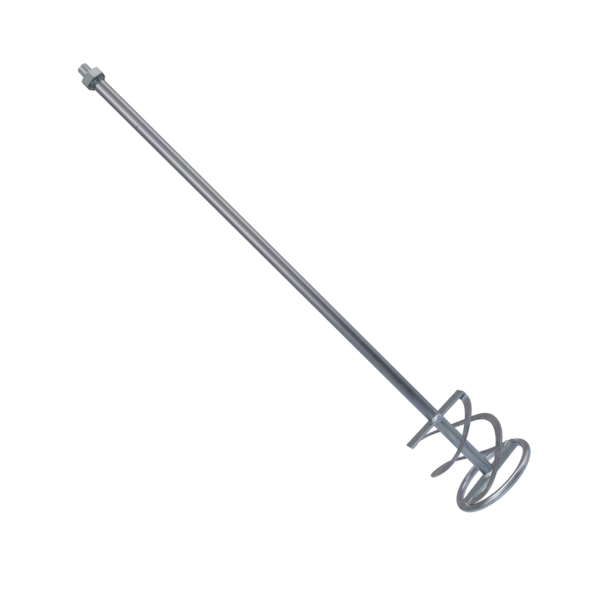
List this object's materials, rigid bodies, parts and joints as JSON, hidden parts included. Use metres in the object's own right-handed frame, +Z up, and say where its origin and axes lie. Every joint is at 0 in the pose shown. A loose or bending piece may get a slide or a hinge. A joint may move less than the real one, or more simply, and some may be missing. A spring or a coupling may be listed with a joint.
{
  "type": "mortar mixing paddle",
  "caption": "Drill mixing paddle for mortar: a tubular shaft with a threaded coupling stud above a welded basket of helical blades between a flat crossbar and a round bottom ring.",
  "frame": {"origin": "centre of the underside of the bottom ring, on the shaft's axis", "axes": "+Z up the shaft to the threaded stud, +X along the crossbar, +Y completes the right-handed frame"},
  "size_m": [0.1, 0.1, 0.6015],
  "materials": {
    "tube_steel": "bright zinc plate on drawn tube, faint lengthwise lines and a bluish to lavender passivate tint",
    "ring_steel": "bright zinc plate on smooth round rod, glossy",
    "bar_steel": "zinc plate on hot-rolled flat bar, satin, mottled grey",
    "blade_steel": "zinc plate on flat strip, darker and duller than the shaft",
    "nut_steel": "bright zinc plate on a turned and milled hexagon",
    "stud_steel": "zinc plate on a cut thread",
    "weld_steel": "zinc plate over rippled weld metal, shiny"
  },
  "bodies": {
    "root": {"bottom_ring": "ring_steel", "shaft_tube": "tube_steel", "threaded_stud": "stud_steel", "hex_nut": "nut_steel", "crossbar": "bar_steel", "bottom_bar": "bar_steel", "blade_a": "blade_steel", "blade_b": "blade_steel", "weld_nut_to_tube": "weld_steel", "weld_crossbar_upper": "weld_steel", "weld_crossbar_lower": "weld_steel", "weld_tube_to_bottom_bar": "weld_steel", "weld_bottom_bar_right": "weld_steel", "weld_bottom_bar_left": "weld_steel", "weld_blade_a_top": "weld_steel", "weld_blade_a_bottom": "weld_steel", "weld_blade_b_top": "weld_steel", "weld_blade_b_bottom": "weld_steel"}
  },
  "joints": []
}
